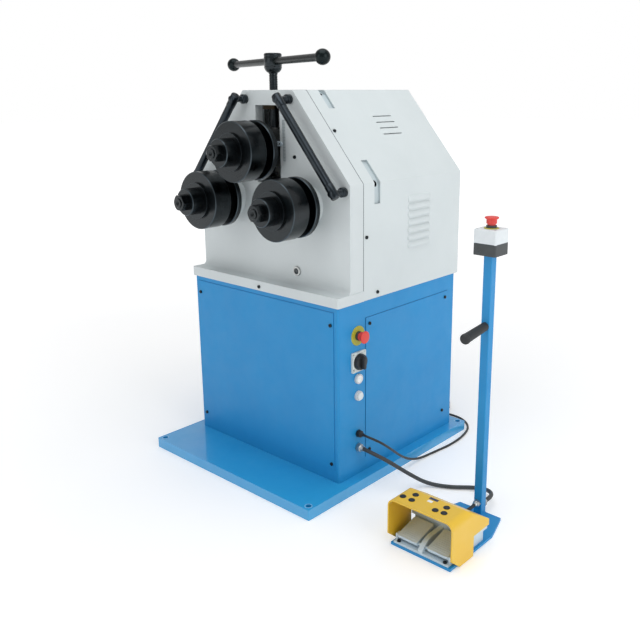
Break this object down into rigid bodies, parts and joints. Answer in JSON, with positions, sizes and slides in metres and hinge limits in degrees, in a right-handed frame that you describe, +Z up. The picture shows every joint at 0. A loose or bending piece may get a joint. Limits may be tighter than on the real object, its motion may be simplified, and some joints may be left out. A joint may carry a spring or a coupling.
{
  "type": "ring roller",
  "caption": "Floor-standing ring roller: blue cabinet, pale cast head with three black rolls, T-handle pressure screw, grab handles and a separate foot station with a yellow hood.",
  "frame": {"origin": "floor level, centre of the four anchor holes in the base plate", "axes": "+Z up, rolls face -Y, +X is the operator's right where the foot station stands"},
  "size_m": [1.199, 0.983, 1.331],
  "materials": {
    "blue_paint": "semi-gloss enamel",
    "grey_paint": "semi-gloss light grey enamel",
    "inner_paint": "off-white primer",
    "black_screw": "black-oxide socket screws",
    "carriage_iron": "dark machined iron",
    "gib_steel": "ground",
    "bronze": "turned bronze",
    "bearing_steel": "ground",
    "motor_aluminium": "painted housing",
    "handle_black": "black-blued steel",
    "plated_ring": "zinc plated",
    "disc_yellow": "matt yellow plate",
    "switch_grey": "moulded",
    "lamp_white": "translucent lens",
    "bezel_plastic": "moulded",
    "gland_black": "moulded nylon",
    "gland_plated": "nickel-plated brass",
    "cord_black": "rubber sheath",
    "plug_black": "moulded",
    "hose_black": "smooth sheath",
    "jumper_black": "rubber sheath",
    "grip_rubber": "rubber grip",
    "box_dark": "moulded",
    "lid_white": "moulded",
    "switch_cast": "die-cast, painted",
    "hood_yellow": "yellow enamel sheet",
    "shaft_steel": "blackened, bright ends",
    "roll_black": "hardened, black-oxide",
    "gear_steel": "cut teeth, oiled",
    "button_red": "moulded",
    "knob_black": "moulded",
    "button_white": "moulded",
    "pedal_aluminium": "cast, ribbed"
  },
  "bodies": {
    "root": {"base_plate": "blue_paint", "cabinet_shell": "blue_paint", "front_panel": "blue_paint", "side_panel": "blue_paint", "panel_screws": "black_screw", "head_casting": "grey_paint", "inner_plate": "inner_paint", "sheet_cover": "grey_paint", "guide_rails": "gib_steel", "feed_nut": "bronze", "shaft_bearings": "bearing_steel", "bearing_housings": "grey_paint", "gearmotor": "motor_aluminium", "grab_handles": "handle_black", "sight_plug": "plated_ring", "estop_discs": "disc_yellow", "switch_plate": "switch_grey", "pilot_lamp": "lamp_white", "control_bezels": "bezel_plastic", "mains_gland": "gland_black", "hose_glands": "gland_plated", "mains_cord": "cord_black", "mains_coil": "cord_black", "mains_plug": "plug_black", "pedal_hose": "hose_black", "jumper_cable": "jumper_black", "station_stand": "blue_paint", "post_grip": "grip_rubber", "station_box": "box_dark", "station_lid": "lid_white", "pedal_base": "switch_cast", "pedal_shield": "hood_yellow"},
    "carriage": {"carriage": "carriage_iron", "carriage_bearings": "bearing_steel"},
    "top_roll": {"top_shaft": "shaft_steel", "top_ring": "roll_black", "top_disc": "roll_black", "top_sleeve": "roll_black", "top_nut": "roll_black"},
    "lower_roll_right": {"right_shaft": "shaft_steel", "right_ring": "roll_black", "right_disc": "roll_black", "right_sleeve": "roll_black", "right_nut": "roll_black", "right_gear": "gear_steel"},
    "lower_roll_left": {"left_shaft": "shaft_steel", "left_ring": "roll_black", "left_disc": "roll_black", "left_sleeve": "roll_black", "left_nut": "roll_black", "left_gear": "gear_steel"},
    "drive_pinion": {"drive_pinion": "gear_steel"},
    "feed_screw": {"feed_screw": "handle_black", "t_bar": "handle_black"},
    "estop_button": {"estop_button": "button_red"},
    "switch_knob": {"switch_knob": "knob_black"},
    "push_button": {"push_button": "button_white"},
    "pedal_left": {"pedal_left": "pedal_aluminium"},
    "pedal_right": {"pedal_right": "pedal_aluminium"},
    "station_estop": {"station_estop": "button_red"}
  },
  "joints": [
    {"name": "carriage_feed", "type": "slide", "parent": "root", "child": "carriage", "axis": [0, 0, 1], "range_m": [-0.046, 0.048]},
    {"name": "feed_screw_turn", "type": "hinge", "parent": "carriage", "child": "feed_screw", "pos_m": [0, -0.158, 1.2], "axis": [0, 0, 1], "range_deg": [-3320, 3464]},
    {"name": "top_roll_turn", "type": "hinge", "parent": "carriage", "child": "top_roll", "pos_m": [0, -0.3, 1.043], "axis": [0, 1, 0], "continuous": true},
    {"name": "right_roll_turn", "type": "hinge", "parent": "root", "child": "lower_roll_right", "pos_m": [0.172, -0.3, 0.8835], "axis": [0, 1, 0], "continuous": true},
    {"name": "left_roll_turn", "type": "hinge", "parent": "root", "child": "lower_roll_left", "pos_m": [-0.172, -0.3, 0.8835], "axis": [0, 1, 0], "continuous": true},
    {"name": "pinion_turn", "type": "hinge", "parent": "root", "child": "drive_pinion", "pos_m": [0, -0.1, 0.83043], "axis": [0, 1, 0], "continuous": true},
    {"name": "estop_press", "type": "slide", "parent": "root", "child": "estop_button", "axis": [-1, 0, 0], "range_m": [0, 0.004]},
    {"name": "main_switch_turn", "type": "hinge", "parent": "root", "child": "switch_knob", "pos_m": [0.35, -0.15, 0.414], "axis": [-1, 0, 0], "range_deg": [0, 90]},
    {"name": "button_press", "type": "slide", "parent": "root", "child": "push_button", "axis": [-1, 0, 0], "range_m": [0, 0.004], "stiffness_N_per_m": 700, "springref_m": -0.002},
    {"name": "left_pedal_press", "type": "hinge", "parent": "root", "child": "pedal_left", "pos_m": [0.672, -0.328, 0.025], "axis": [-1, 0, 0], "range_deg": [0, 8], "stiffness_Nm_per_rad": 4, "springref_deg": -5.73},
    {"name": "right_pedal_press", "type": "hinge", "parent": "root", "child": "pedal_right", "pos_m": [0.772, -0.328, 0.025], "axis": [-1, 0, 0], "range_deg": [0, 8], "stiffness_Nm_per_rad": 4, "springref_deg": -5.73},
    {"name": "station_estop_press", "type": "slide", "parent": "root", "child": "station_estop", "axis": [0, 0, -1], "range_m": [0, 0.004]}
  ],
  "couplings": [
    {"joint": "feed_screw_turn", "follows": "carriage_feed", "rad_per_m": 1256.6},
    {"joint": "left_roll_turn", "follows": "right_roll_turn", "ratio": 1},
    {"joint": "pinion_turn", "follows": "right_roll_turn", "ratio": -2.3333}
  ]
}
